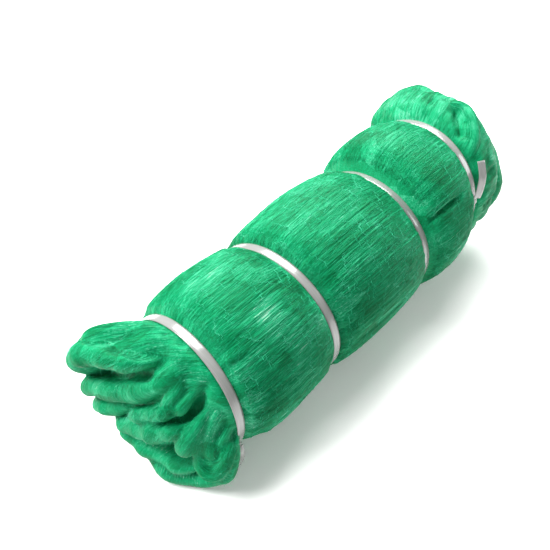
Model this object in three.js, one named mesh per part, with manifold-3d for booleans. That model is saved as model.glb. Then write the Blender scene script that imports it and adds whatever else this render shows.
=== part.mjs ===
import * as THREE from 'three';
import { mergeVertices } from 'three/addons/utils/BufferGeometryUtils.js';
import Module from 'manifold-3d';

const wasm = await Module();
wasm.setup();

// A green fishing net, drawn out lengthwise, folded back and forth into a bundle and bound
// by four flat tapes. Millimetres, +Z up, the bundle lies along X with its near end at -X.
// Angles go round the bundle from its +Y side over the top.

const FLOOR = 0;
const ROUND_STEPS = 72;
const BULGE_STEPS = 9;

// The tying tape and the play between it and the net.
const TAPE = { width: 10, thickness: 0.8, play: 0.3, shoulder: 0.6 };

// The net where each tape draws it in, near end first.
const WAISTS = [
  { name: 'tie_1', x: -161.7, halfWidth: 71.9, top: 147.3, bottom: 9.1, lean: 0.7, yaw: 3.8 },
  { name: 'tie_2', x: -36.6, halfWidth: 77.5, top: 151.2, bottom: 4.2, lean: -2.4, yaw: 0.3 },
  { name: 'tie_3', x: 123, halfWidth: 76.8, top: 147.6, bottom: 4.2, lean: -2.1, yaw: 2.9 },
  { name: 'tie_4', x: 211.4, halfWidth: 76.7, top: 165.7, bottom: 18.3, lean: 5.5, yaw: 3.6 },
];

// The widest part of each bulge between two tapes.
const BULGES = [
  { halfWidth: 87.8, top: 164.7, bottom: -4 },
  { halfWidth: 90.9, top: 170.7, bottom: -4 },
  { halfWidth: 94.5, top: 177.6, bottom: -4 },
];
const BULGE_FULLNESS = 2.2;

// Sections of the packed inside of each end, counted outward from its tape.
const NEAR_END = [
  { past: 5.6, side: 0, halfWidth: 71.9, top: 147.3, bottom: 9.1 },
  { past: 12, side: 2, halfWidth: 75, top: 152, bottom: 4 },
  { past: 22, side: 10, halfWidth: 76, top: 157, bottom: -2 },
  { past: 33, side: 18, halfWidth: 69, top: 154, bottom: -3 },
  { past: 40, side: 21, halfWidth: 58, top: 141, bottom: 4 },
  { past: 45, side: 22, halfWidth: 41, top: 118, bottom: 18 },
  { past: 48, side: 22, halfWidth: 18, top: 90, bottom: 40 },
];
const FAR_END = [
  { past: 5.6, side: 0, halfWidth: 76.7, top: 165.7, bottom: 18.3 },
  { past: 10, side: 1, halfWidth: 81, top: 172, bottom: 13 },
  { past: 20, side: 3, halfWidth: 85, top: 179, bottom: 5 },
  { past: 34, side: 5, halfWidth: 86, top: 182, bottom: 1 },
  { past: 50, side: 6, halfWidth: 84, top: 180, bottom: 2 },
  { past: 61, side: 6, halfWidth: 76, top: 170, bottom: 12 },
  { past: 70, side: 6, halfWidth: 62, top: 152, bottom: 28 },
  { past: 75, side: 6, halfWidth: 40, top: 128, bottom: 50 },
  { past: 77, side: 6, halfWidth: 18, top: 106, bottom: 72 },
];

// Soft troughs in the bulges: where each runs, how wide it is round the bundle, how deep.
const TROUGHS = [
  { from: 124, to: 188, angle: 148, spread: 7, depth: 7 },
  { from: -70, to: -42, angle: 112, spread: 26, depth: 2.5 },
  { from: 84, to: 117, angle: 104, spread: 28, depth: 2.5 },
  { from: -20, to: 100, angle: 188, spread: 8, depth: 2.5 },
  { from: -150, to: -60, angle: 196, spread: 8, depth: 2 },
  { from: -208, to: -174, angle: 140, spread: 6, depth: 9 },
  { from: -210, to: -182, angle: 172, spread: 6, depth: 7 },
  { from: 224, to: 262, angle: 106, spread: 8, depth: 9 },
];

// Gathers beside the tapes.
const GATHERS = { count: 17, depth: 0.9, reach: 16 };

// Folds that turn back at the near end. A row is one place along the lip of a fold: its
// nose, where its root lies in the tape and half its thickness.
const NEAR_ROOT = -179;
const NEAR_FOLDS = {
  top: [
    { x: -201, y: 2, z: 138, rootY: -4, rootZ: 132, half: 9 },
    { x: -217, y: 26, z: 141, rootY: 16, rootZ: 135, half: 13 },
    { x: -220, y: 58, z: 129, rootY: 47, rootZ: 122, half: 16 },
    { x: -217, y: 81, z: 95, rootY: 63, rootZ: 90, half: 15 },
    { x: -206, y: 85, z: 56, rootY: 62, rootZ: 56, half: 12 },
  ],
  second: [
    { x: -199, y: -16, z: 115, rootY: -34, rootZ: 122, half: 12 },
    { x: -210, y: 6, z: 106, rootY: -8, rootZ: 114, half: 15 },
    { x: -217, y: 40, z: 93, rootY: 22, rootZ: 98, half: 16 },
    { x: -217, y: 73, z: 71, rootY: 42, rootZ: 74, half: 14 },
    { x: -208, y: 82, z: 48, rootY: 52, rootZ: 54, half: 10 },
  ],
  crumple: [
    { x: -214, y: 16, z: 80, rootY: 2, rootZ: 82, half: 9 },
    { x: -222, y: 44, z: 68, rootY: 24, rootZ: 70, half: 10 },
    { x: -220, y: 62, z: 50, rootY: 40, rootZ: 54, half: 9 },
  ],
  curl: [
    { x: -202, y: -36, z: 101, rootY: -52, rootZ: 108, half: 10 },
    { x: -210, y: -14, z: 91, rootY: -34, rootZ: 96, half: 10 },
    { x: -215, y: 10, z: 78, rootY: -10, rootZ: 82, half: 9 },
  ],
  wide: [
    { x: -197, y: -40, z: 79, rootY: -58, rootZ: 90, half: 12 },
    { x: -210, y: -12, z: 66, rootY: -30, rootZ: 72, half: 13 },
    { x: -217, y: 20, z: 52, rootY: 4, rootZ: 58, half: 12 },
    { x: -214, y: 46, z: 36, rootY: 28, rootZ: 44, half: 9 },
  ],
  lower: [
    { x: -200, y: -38, z: 47, rootY: -54, rootZ: 58, half: 11 },
    { x: -211, y: -12, z: 38, rootY: -24, rootZ: 46, half: 13 },
    { x: -216, y: 20, z: 28, rootY: 6, rootZ: 38, half: 11 },
    { x: -211, y: 44, z: 22, rootY: 28, rootZ: 34, half: 8 },
  ],
  outer: [
    { x: -182, y: -80, z: 50, rootY: -54, rootZ: 58, half: 8 },
    { x: -189, y: -68, z: 20, rootY: -48, rootZ: 38, half: 10 },
    { x: -205, y: -40, z: 11, rootY: -34, rootZ: 26, half: 10 },
    { x: -215, y: -6, z: 10, rootY: -4, rootZ: 22, half: 10 },
    { x: -212, y: 28, z: 13, rootY: 24, rootZ: 28, half: 10 },
  ],
};

// Folds at the far end, in the same columns.
const FAR_ROOT = 228;
const FAR_FOLDS = {
  over: [
    { x: 276, y: 10, z: 155, rootY: 4, rootZ: 140, half: 12 },
    { x: 285, y: 48, z: 151, rootY: 32, rootZ: 134, half: 17 },
    { x: 281, y: 80, z: 124, rootY: 56, rootZ: 114, half: 16 },
    { x: 270, y: 84, z: 80, rootY: 60, rootZ: 82, half: 12 },
  ],
  side: [
    { x: 280, y: 2, z: 138, rootY: -6, rootZ: 132, half: 10 },
    { x: 287, y: -22, z: 131, rootY: -24, rootZ: 126, half: 12 },
    { x: 284, y: -48, z: 104, rootY: -48, rootZ: 104, half: 14 },
    { x: 281, y: -55, z: 67, rootY: -54, rootZ: 76, half: 13 },
    { x: 271, y: -48, z: 38, rootY: -46, rootZ: 52, half: 10 },
  ],
  inner: [
    { x: 280, y: -18, z: 98, rootY: -20, rootZ: 98, half: 12 },
    { x: 286, y: 12, z: 86, rootY: 4, rootZ: 90, half: 14 },
    { x: 280, y: 48, z: 76, rootY: 34, rootZ: 80, half: 12 },
  ],
  low: [
    { x: 271, y: -20, z: 50, rootY: -20, rootZ: 54, half: 12 },
    { x: 277, y: 8, z: 42, rootY: 2, rootZ: 48, half: 14 },
    { x: 272, y: 42, z: 44, rootY: 30, rootZ: 50, half: 12 },
  ],
};
const FOLD_BOW = 0.11;
const LIP_STEPS = 4;
const NOSE_STEPS = 5;
const SIDE_STEPS = 3;

// Single pleats drawn from a tape: the places their middle passes and half their width.
const PLEATS = {
  neck: [
    { x: -176, y: -32, z: 130, half: 5 },
    { x: -188, y: -32, z: 127, half: 8 },
    { x: -199, y: -30, z: 114, half: 9 },
    { x: -207, y: -28, z: 100, half: 9 },
  ],
  finger: [
    { x: -176, y: -46, z: 112, half: 5 },
    { x: -185, y: -50, z: 102, half: 7 },
    { x: -198, y: -50, z: 82, half: 9 },
    { x: -208, y: -43, z: 60, half: 10 },
  ],
  loop: [
    { x: -178, y: -66, z: 76, half: 5 },
    { x: -186, y: -68, z: 56, half: 8 },
    { x: -200, y: -58, z: 36, half: 9 },
    { x: -208, y: -38, z: 28, half: 8 },
    { x: -208, y: -20, z: 28, half: 6 },
  ],
  hook: [
    { x: 226, y: -44, z: 146, half: 5 },
    { x: 238, y: -46, z: 154, half: 8 },
    { x: 254, y: -38, z: 164, half: 9 },
    { x: 263, y: -20, z: 169, half: 9 },
    { x: 258, y: 0, z: 173, half: 7 },
  ],
};
const PLEAT_STEPS = 4;
const PLEAT_SIDES = 10;

// The knot of a tape and its free end that shows: where round the bundle the knot sits,
// which way the end faces and the places it passes.
const KNOT = { along: 12, across: 7.5, high: 3.6 };
const FREE_ENDS = {
  tie_1: {
    angle: 205,
    face: [-0.1, -1, 0.1],
    way: [
      { x: -166, y: -68.5, z: 49 },
      { x: -163, y: -73, z: 41 },
      { x: -162, y: -73, z: 32 },
      { x: -163, y: -71, z: 23 },
    ],
  },
  tie_4: {
    angle: 166,
    face: [-0.3, -0.8, 0.5],
    way: [
      { x: 211, y: -77.5, z: 111 },
      { x: 213, y: -80, z: 121 },
      { x: 219, y: -78, z: 136 },
      { x: 226, y: -71, z: 150 },
    ],
  },
};
const STRIP_STEPS = 3;

// Where the hidden ends of the two middle tapes lap over each other.
const LAP = { from: -34, to: -14 };

const NET_GREEN = 0x22a470;
const TAPE_WHITE = 0xeef2ec;

function mix(a, b, t) {
  return a + (b - a) * t;
}

function toRadians(degrees) {
  return degrees * Math.PI / 180;
}

// A closed body from rings of points, each ring run round the same way, ends brought to a
// point in the middle of the first and last ring.
function loftGeometry(rings) {
  const round = rings[0].length;
  const points = rings.flat();
  const first = points.length;
  const last = first + 1;
  points.push(middleOf(rings[0]), middleOf(rings[rings.length - 1]));
  const index = [];
  for (let ring = 0; ring + 1 < rings.length; ring += 1) {
    for (let step = 0; step < round; step += 1) {
      const a = ring * round + step;
      const b = ring * round + (step + 1) % round;
      index.push(a, b, b + round, a, b + round, a + round);
    }
  }
  const lastRing = (rings.length - 1) * round;
  for (let step = 0; step < round; step += 1) {
    const next = (step + 1) % round;
    index.push(first, next, step);
    index.push(last, lastRing + step, lastRing + next);
  }
  const geometry = new THREE.BufferGeometry().setFromPoints(points);
  geometry.setIndex(index);
  return geometry;
}

function middleOf(ring) {
  const sum = ring.reduce((total, point) => total.add(point), new THREE.Vector3());
  return sum.divideScalar(ring.length);
}

function signedVolume(geometry) {
  const position = geometry.getAttribute('position');
  const index = geometry.getIndex();
  const a = new THREE.Vector3();
  const b = new THREE.Vector3();
  const c = new THREE.Vector3();
  let sum = 0;
  for (let corner = 0; corner < index.count; corner += 3) {
    a.fromBufferAttribute(position, index.getX(corner));
    b.fromBufferAttribute(position, index.getX(corner + 1));
    c.fromBufferAttribute(position, index.getX(corner + 2));
    sum += a.dot(b.cross(c));
  }
  return sum / 6;
}

// Turns the faces outward when they look in.
function facedOut(geometry) {
  if (signedVolume(geometry) > 0) return geometry;
  const index = Array.from(geometry.getIndex().array);
  for (let corner = 0; corner < index.length; corner += 3) {
    [index[corner], index[corner + 1]] = [index[corner + 1], index[corner]];
  }
  geometry.setIndex(index);
  return geometry;
}

function toSolid(geometry) {
  const closed = facedOut(geometry);
  const vertProperties = Float32Array.from(closed.getAttribute('position').array);
  const triVerts = Uint32Array.from(closed.getIndex().array);
  return new wasm.Manifold(new wasm.Mesh({ numProp: 3, vertProperties, triVerts }));
}

function toGeometry(solid) {
  const mesh = solid.getMesh();
  const geometry = new THREE.BufferGeometry();
  geometry.setAttribute('position', new THREE.BufferAttribute(mesh.vertProperties, 3));
  geometry.setIndex(new THREE.BufferAttribute(mesh.triVerts, 1));
  return geometry;
}

// The body of the bundle.

function section(x, size, lean, yaw) {
  return {
    x,
    side: size.side ?? 0,
    halfWidth: size.halfWidth,
    halfHeight: (size.top - size.bottom) / 2,
    middle: (size.top + size.bottom) / 2,
    lean,
    yaw,
  };
}

function bulgeSections(bulge, left, right) {
  const half = TAPE.width / 2 + TAPE.shoulder;
  const from = left.x + half;
  const to = right.x - half;
  const sections = [];
  for (let step = 0; step <= BULGE_STEPS; step += 1) {
    const along = (1 - Math.cos(Math.PI * step / BULGE_STEPS)) / 2;
    const fromMiddle = Math.abs(2 * along - 1) ** BULGE_FULLNESS;
    const rise = (1 - fromMiddle) ** (1 / BULGE_FULLNESS);
    const size = {
      halfWidth: mix(mix(left.halfWidth, right.halfWidth, along), bulge.halfWidth, rise),
      top: mix(mix(left.top, right.top, along), bulge.top, rise),
      bottom: mix(mix(left.bottom, right.bottom, along), bulge.bottom, rise),
    };
    const lean = mix(left.lean, right.lean, along);
    const yaw = mix(left.yaw, right.yaw, along);
    sections.push(section(mix(from, to, along), size, lean, yaw));
  }
  return sections;
}

function endSections(rows, waist, outward) {
  return rows.map((row) => section(waist.x + outward * row.past, row, waist.lean, waist.yaw));
}

function bodySections() {
  const near = endSections(NEAR_END, WAISTS[0], -1).reverse();
  const far = endSections(FAR_END, WAISTS[WAISTS.length - 1], 1);
  const bulges = BULGES.flatMap((bulge, i) => bulgeSections(bulge, WAISTS[i], WAISTS[i + 1]));
  return [...near, ...bulges, ...far];
}

// How far the surface stands in or out at a place, by troughs and by gathers at the tapes.
function wrinkle(x, angle) {
  let depth = 0;
  for (const trough of TROUGHS) {
    const along = (x - trough.from) / (trough.to - trough.from);
    const across = (THREE.MathUtils.radToDeg(angle) - trough.angle) / trough.spread;
    if (along > 0 && along < 1) {
      depth -= trough.depth * Math.sin(Math.PI * along) * Math.exp(-across * across);
    }
  }
  const toTape = Math.min(...WAISTS.map((waist) => Math.abs(x - waist.x))) - TAPE.width / 2;
  const near = Math.exp(-Math.abs(toTape - GATHERS.reach / 2) / GATHERS.reach);
  const free = THREE.MathUtils.smoothstep(toTape, TAPE.shoulder * 2, GATHERS.reach / 2);
  const wave = Math.sin(GATHERS.count * angle + x / GATHERS.reach) + Math.sin(11 * angle);
  return depth + GATHERS.depth * near * free * wave;
}

function sectionRing(place) {
  const ring = [];
  for (let step = 0; step < ROUND_STEPS; step += 1) {
    const angle = 2 * Math.PI * step / ROUND_STEPS;
    const out = wrinkle(place.x, angle);
    const y = (place.halfWidth + out) * Math.cos(angle);
    const up = (place.halfHeight + out) * Math.sin(angle);
    const shift = up * Math.tan(toRadians(place.lean)) + y * Math.tan(toRadians(place.yaw));
    const z = Math.max(FLOOR, place.middle + up);
    ring.push(new THREE.Vector3(place.x + shift, place.side + y, z));
  }
  return ring;
}

// Folds that turn back at the ends.

function curveThrough(rows, read) {
  return new THREE.CatmullRomCurve3(rows.map(read), false, 'centripetal');
}

function foldSections(rows, rootX) {
  const noses = curveThrough(rows, (row) => new THREE.Vector3(row.x, row.y, row.z));
  const roots = curveThrough(rows, (row) => new THREE.Vector3(rootX, row.rootY, row.rootZ));
  const steps = (rows.length - 1) * LIP_STEPS;
  const rings = [];
  for (let step = 0; step <= steps; step += 1) {
    const t = step / steps;
    const row = t * (rows.length - 1);
    const low = Math.min(Math.floor(row), rows.length - 2);
    const half = mix(rows[low].half, rows[low + 1].half, row - low);
    const ending = Math.sqrt(Math.max(0, 1 - (2 * t - 1) ** 6));
    const thickness = half * mix(0.25, 1, ending);
    const nose = noses.getPoint(t);
    rings.push(foldRing(roots.getPoint(t), nose, noses.getTangent(t), thickness, ending));
  }
  return rings;
}

// One cut through a fold: out along its upper side, round the nose and back underneath.
function foldRing(root, nose, along, half, ending) {
  const out = nose.clone().sub(root);
  const length = out.length() * mix(0.9, 1, ending) - half * 0.2;
  out.normalize();
  const up = new THREE.Vector3().crossVectors(out, along).normalize();
  const profile = [];
  for (let step = 0; step < SIDE_STEPS; step += 1) {
    const t = step / SIDE_STEPS;
    profile.push([length * t, half * mix(0.5, 1, Math.sin(Math.PI * t / 2))]);
  }
  for (let step = 0; step <= NOSE_STEPS; step += 1) {
    const turn = Math.PI * (0.5 - step / NOSE_STEPS);
    profile.push([length + half * 1.15 * Math.cos(turn), half * Math.sin(turn)]);
  }
  for (let step = SIDE_STEPS - 1; step >= 0; step -= 1) {
    const t = step / SIDE_STEPS;
    profile.push([length * t, -half * mix(0.5, 1, Math.sin(Math.PI * t / 2))]);
  }
  return profile.map(([reach, height]) => {
    const bow = length * FOLD_BOW * Math.sin(Math.PI * Math.min(1, reach / length));
    const point = root.clone().addScaledVector(out, reach).addScaledVector(up, height + bow);
    point.z = Math.max(FLOOR, point.z);
    return point;
  });
}

// A pleat as a rounded ridge along its way, ending in a nose.
function pleatSections(rows) {
  const way = curveThrough(rows, (row) => new THREE.Vector3(row.x, row.y, row.z));
  const steps = (rows.length - 1) * PLEAT_STEPS;
  const rings = [];
  for (let step = 0; step <= steps; step += 1) {
    const t = step / steps;
    const row = t * (rows.length - 1);
    const low = Math.min(Math.floor(row), rows.length - 2);
    const full = mix(rows[low].half, rows[low + 1].half, row - low);
    const half = full * Math.sqrt(Math.max(0.04, 1 - Math.max(0, 5 * t - 4) ** 2));
    const centre = way.getPoint(t);
    const along = way.getTangent(t);
    const side = new THREE.Vector3(0, 0, 1).cross(along).normalize();
    const up = new THREE.Vector3().crossVectors(along, side).normalize();
    const ring = [];
    for (let corner = 0; corner < PLEAT_SIDES; corner += 1) {
      const angle = 2 * Math.PI * corner / PLEAT_SIDES;
      const point = centre.clone()
        .addScaledVector(side, half * Math.cos(angle))
        .addScaledVector(up, half * Math.sin(angle));
      point.z = Math.max(FLOOR, point.z);
      ring.push(point);
    }
    rings.push(ring);
  }
  return rings;
}

function netSolid() {
  let solid = toSolid(loftGeometry(bodySections().map(sectionRing)));
  for (const rows of Object.values(NEAR_FOLDS)) {
    solid = solid.add(toSolid(loftGeometry(foldSections(rows, NEAR_ROOT))));
  }
  for (const rows of Object.values(FAR_FOLDS)) {
    solid = solid.add(toSolid(loftGeometry(foldSections(rows, FAR_ROOT))));
  }
  for (const rows of Object.values(PLEATS)) {
    solid = solid.add(toSolid(loftGeometry(pleatSections(rows))));
  }
  return solid;
}

// The tapes.

function tapePoint(waist, angle, lift, along) {
  const y = (waist.halfWidth + lift) * Math.cos(angle);
  const up = ((waist.top - waist.bottom) / 2 + lift) * Math.sin(angle);
  const shift = up * Math.tan(toRadians(waist.lean)) + y * Math.tan(toRadians(waist.yaw));
  return new THREE.Vector3(waist.x + shift + along, y, (waist.top + waist.bottom) / 2 + up);
}

function bandGeometry(waist) {
  const inner = TAPE.play;
  const outer = TAPE.play + TAPE.thickness;
  const half = TAPE.width / 2;
  const corners = [[inner, -half], [outer, -half], [outer, half], [inner, half]];
  const points = [];
  for (let step = 0; step < ROUND_STEPS; step += 1) {
    const angle = 2 * Math.PI * step / ROUND_STEPS;
    corners.forEach(([lift, along]) => points.push(tapePoint(waist, angle, lift, along)));
  }
  const index = [];
  for (let step = 0; step < ROUND_STEPS; step += 1) {
    for (let corner = 0; corner < 4; corner += 1) {
      const a = step * 4 + corner;
      const b = step * 4 + (corner + 1) % 4;
      const c = ((step + 1) % ROUND_STEPS) * 4 + (corner + 1) % 4;
      const d = ((step + 1) % ROUND_STEPS) * 4 + corner;
      index.push(a, b, c, a, c, d);
    }
  }
  const geometry = new THREE.BufferGeometry().setFromPoints(points);
  geometry.setIndex(index);
  return geometry;
}

// A short flat strip lofted through the places of its way.
function stripGeometry(end) {
  const way = curveThrough(end.way, (row) => new THREE.Vector3(row.x, row.y, row.z));
  const face = new THREE.Vector3(...end.face).normalize();
  const steps = (end.way.length - 1) * STRIP_STEPS;
  const rings = [];
  for (let step = 0; step <= steps; step += 1) {
    const centre = way.getPoint(step / steps);
    const along = way.getTangent(step / steps);
    const across = new THREE.Vector3().crossVectors(along, face).normalize();
    const out = new THREE.Vector3().crossVectors(across, along).normalize();
    const corners = [[-1, -1], [1, -1], [1, 1], [-1, 1]];
    rings.push(corners.map(([wide, thick]) => centre.clone()
      .addScaledVector(across, wide * TAPE.width / 2)
      .addScaledVector(out, thick * TAPE.thickness / 2)));
  }
  return loftGeometry(rings);
}

function knotGeometry(waist, angle) {
  const geometry = new THREE.SphereGeometry(0.5, 12, 8);
  geometry.deleteAttribute('normal');
  geometry.deleteAttribute('uv');
  geometry.scale(KNOT.across, KNOT.along, KNOT.high);
  const middle = tapePoint(waist, angle, TAPE.play + KNOT.high / 2, 0);
  const further = tapePoint(waist, angle, TAPE.play + KNOT.high, 0);
  const out = further.sub(middle).normalize();
  const across = new THREE.Vector3(1, 0, 0);
  const along = new THREE.Vector3().crossVectors(out, across).normalize();
  across.crossVectors(along, out);
  geometry.applyMatrix4(new THREE.Matrix4().makeBasis(across, along, out).setPosition(middle));
  return mergeVertices(geometry);
}

// The second layer of tape where the ends of a plain band lap.
function lapGeometry(waist) {
  const rings = [];
  const low = TAPE.play + TAPE.thickness / 2;
  const high = TAPE.play + 2 * TAPE.thickness;
  const half = TAPE.width / 2;
  const stepAngle = 360 / ROUND_STEPS;
  for (let degrees = LAP.from; degrees <= LAP.to; degrees += stepAngle) {
    const angle = toRadians(Math.round(degrees / stepAngle) * stepAngle);
    const corners = [[low, -half], [high, -half], [high, half], [low, half]];
    rings.push(corners.map(([lift, along]) => tapePoint(waist, angle, lift, along)));
  }
  return loftGeometry(rings);
}

function tapeSolid(waist) {
  const band = toSolid(bandGeometry(waist));
  const end = FREE_ENDS[waist.name];
  if (!end) return band.add(toSolid(lapGeometry(waist)));
  const knot = toSolid(knotGeometry(waist, toRadians(end.angle)));
  return band.add(knot).add(toSolid(stripGeometry(end)));
}

function piece(name, solid, colour, roughness) {
  const material = new THREE.MeshStandardMaterial({ color: colour, roughness, metalness: 0 });
  const mesh = new THREE.Mesh(toGeometry(solid), material);
  mesh.name = name;
  return mesh;
}

const bundle = new THREE.Group();
bundle.name = 'folded_fishing_net';
bundle.add(piece('net', netSolid(), NET_GREEN, 0.45));
for (const waist of WAISTS) {
  bundle.add(piece(waist.name, tapeSolid(waist), TAPE_WHITE, 0.3));
}

// The origin lies on the floor under the middle of the bundle.
const extent = new THREE.Box3().setFromObject(bundle);
const middle = extent.getCenter(new THREE.Vector3());
bundle.children.forEach((mesh) => mesh.geometry.translate(-middle.x, -middle.y, -extent.min.z));

export default bundle;
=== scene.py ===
import math

import bpy
import numpy as np
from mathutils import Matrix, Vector
from mathutils.kdtree import KDTree


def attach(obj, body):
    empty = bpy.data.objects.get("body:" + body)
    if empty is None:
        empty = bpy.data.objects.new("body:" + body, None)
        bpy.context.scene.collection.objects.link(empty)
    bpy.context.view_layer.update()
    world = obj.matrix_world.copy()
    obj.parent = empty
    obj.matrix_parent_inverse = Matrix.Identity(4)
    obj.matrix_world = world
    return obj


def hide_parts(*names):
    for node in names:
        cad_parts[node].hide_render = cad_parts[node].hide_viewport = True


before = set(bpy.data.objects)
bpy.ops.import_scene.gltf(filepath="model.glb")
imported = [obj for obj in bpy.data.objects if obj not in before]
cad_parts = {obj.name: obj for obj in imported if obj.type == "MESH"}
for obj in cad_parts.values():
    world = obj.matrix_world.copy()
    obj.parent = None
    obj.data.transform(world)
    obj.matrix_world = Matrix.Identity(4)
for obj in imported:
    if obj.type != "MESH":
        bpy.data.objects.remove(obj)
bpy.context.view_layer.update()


# The view. The bundle lies slantwise in the picture with its layered end nearest. The
# camera looks down on it at the photograph's angle, with a slightly long lens.

VIEW_AZIMUTH = -48.72
VIEW_ELEVATION = 44.55
VIEW_DISTANCE = 0.8
VIEW_CENTRE = Vector((-0.045925, 0.022012, 0.093))
SENSOR_WIDTH = 36
LENS = 50.86


def direction_from(azimuth, elevation):
    """The way from the object to a place at these angles, in degrees."""
    azimuth, elevation = math.radians(azimuth), math.radians(elevation)
    level = math.cos(elevation)
    return Vector((math.sin(azimuth) * level, -math.cos(azimuth) * level, math.sin(elevation)))


def stand_at(thing, centre, back, distance):
    """Puts a camera or lamp at a distance from a centre, looking at it."""
    thing.location = centre + back * distance
    thing.rotation_euler = back.to_track_quat("Z", "Y").to_euler()
    bpy.context.scene.collection.objects.link(thing)


camera = bpy.data.objects.new("camera", bpy.data.cameras.new("camera"))
camera.data.sensor_width = SENSOR_WIDTH
camera.data.lens = LENS
camera.data.clip_end = 20
stand_at(camera, VIEW_CENTRE, direction_from(VIEW_AZIMUTH, VIEW_ELEVATION), VIEW_DISTANCE)
bpy.context.scene.camera = camera
bpy.context.scene.view_settings.view_transform = "Standard"


# The floor and the light. A plain pale studio floor, lifted by a faint glow of its own. A
# wide soft lamp stands high behind the bundle, a smaller one on its left and a weak one
# low on its right, inside an even white surround.

FLOOR_SIZE = 12.0
FLOOR_COLOUR = (0.93, 0.93, 0.92, 1)
FLOOR_ROUGHNESS = 0.9
FLOOR_GLOW = 0.13
WHITE = (1, 1, 1, 1)
SURROUND_STRENGTH = 0.4
LAMPS = {
    "back_lamp": dict(azimuth=128, elevation=55, distance=1.6, size=1.5, power=54),
    "left_lamp": dict(azimuth=-125, elevation=46, distance=1.6, size=0.9, power=40),
    "right_lamp": dict(azimuth=55, elevation=22, distance=1.5, size=0.6, power=4),
}


def object_from(name, points, faces):
    """An object in the scene from points in metres and faces."""
    mesh = bpy.data.meshes.new(name)
    mesh.from_pydata(points, [], faces)
    thing = bpy.data.objects.new(name, mesh)
    bpy.context.scene.collection.objects.link(thing)
    return thing


def blank_material(name):
    """A new material, with its nodes, its links and its shader."""
    material = bpy.data.materials.new(name)
    material.use_nodes = True
    tree = material.node_tree
    return material, tree.nodes, tree.links, tree.nodes["Principled BSDF"]


reach = FLOOR_SIZE / 2
floor_corners = [(-reach, -reach, 0), (reach, -reach, 0), (reach, reach, 0), (-reach, reach, 0)]
floor = object_from("floor", floor_corners, [(0, 1, 2, 3)])
floor_paint, _, _, floor_shader = blank_material("pale_floor")
floor_shader.inputs["Base Color"].default_value = FLOOR_COLOUR
floor_shader.inputs["Roughness"].default_value = FLOOR_ROUGHNESS
floor_shader.inputs["Emission Color"].default_value = WHITE
floor_shader.inputs["Emission Strength"].default_value = FLOOR_GLOW
floor.data.materials.append(floor_paint)

surround = bpy.data.worlds.new("surround")
surround.use_nodes = True
surround_light = surround.node_tree.nodes["Background"]
surround_light.inputs["Color"].default_value = WHITE
surround_light.inputs["Strength"].default_value = SURROUND_STRENGTH
bpy.context.scene.world = surround

for name, lamp in LAMPS.items():
    light = bpy.data.lights.new(name, "AREA")
    light.shape = "DISK"
    light.size = lamp["size"]
    light.energy = lamp["power"]
    thing = bpy.data.objects.new(name, light)
    away = direction_from(lamp["azimuth"], lamp["elevation"])
    stand_at(thing, VIEW_CENTRE, away, lamp["distance"])


# The three bulges of the net. Fine knotted nylon netting, drawn out lengthwise and folded
# back and forth into a bundle. Four tapes draw it in; between them it swells, and it lies
# flat where it rests.

# Sizes are in millimetres from this mark on the floor, near the bundle's middle. Angles
# go round the bundle from its +Y side over the top.
MARK = np.array([-32.925, -0.988, 0.0])
TAPE_WIDTH = 10.0
WAISTS = [
    dict(x=-161.7, half_width=71.9, top=147.3, bottom=9.1, lean=0.7, yaw=3.8),
    dict(x=-36.6, half_width=77.5, top=151.2, bottom=4.2, lean=-2.4, yaw=0.3),
    dict(x=123.0, half_width=76.8, top=147.6, bottom=4.2, lean=-2.1, yaw=2.9),
    dict(x=211.4, half_width=76.7, top=165.7, bottom=18.3, lean=5.5, yaw=3.6),
]
BULGES = [
    dict(half_width=84.2, side=-0.8, top=162.6, bottom=-4.0),
    dict(half_width=87.4, side=-1.2, top=168.6, bottom=-4.0),
    dict(half_width=91.0, side=-1.0, top=175.6, bottom=-4.0),
]
SIZES = ("half_width", "side", "top", "bottom", "lean", "yaw")
SHOULDER = 5.6
FULLNESS = 2.2
ABOVE_FLOOR = 0.3
SUNK_UNDER_TAPE = 0.9
# The deep crease of the third bulge with its soft bed, and shallow hollows: each one's
# start and end along the bundle, its angle and spread in degrees, and its depth.
TROUGHS = [
    (132, 180, 146, 2.4, 9),
    (128, 190, 152, 9, 4),
    (-70, -42, 112, 26, 2.5),
    (84, 117, 104, 28, 2.5),
    (-20, 100, 188, 6, 3),
    (-150, -60, 196, 6, 2.5),
    (-178, -128, 216, 24, 5),
]
RELIEF_START, RELIEF_LENGTH = -170, 390
FURROW_HEIGHT = 0.4
FINE_FURROW_HEIGHT = 0.26
LUMP_HEIGHT = 1.1
GATHER_HEIGHT = 1.7
GATHERS_FROM_TAPE, GATHERS_FADE = 7, 9
FREE_OF_TAPE = 22


def metres(points):
    return (np.asarray(points, float) + MARK) / 1000


def between(start, end, share):
    return start + (end - start) * share


def eased(share):
    share = np.clip(share, 0, 1)
    return share * share * (3 - 2 * share)


def ripple(seed, around, along):
    """Smooth random relief from -1 to 1, with u and v from 0 to 1. It joins up round the bundle."""
    heights = np.random.default_rng(seed).uniform(-1, 1, (around, along + 1))

    def read(u, v):
        u = (np.asarray(u, float) % 1) * around
        v = np.clip(v, 0, 1) * (along - 1e-6)
        left, low = np.floor(u).astype(int), np.floor(v).astype(int)
        share_u, share_v = eased(u - left), eased(v - low)
        left, right = left % around, (left + 1) % around
        below = between(heights[left, low], heights[right, low], share_u)
        above = between(heights[left, low + 1], heights[right, low + 1], share_u)
        return between(below, above, share_v)

    return read


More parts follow.
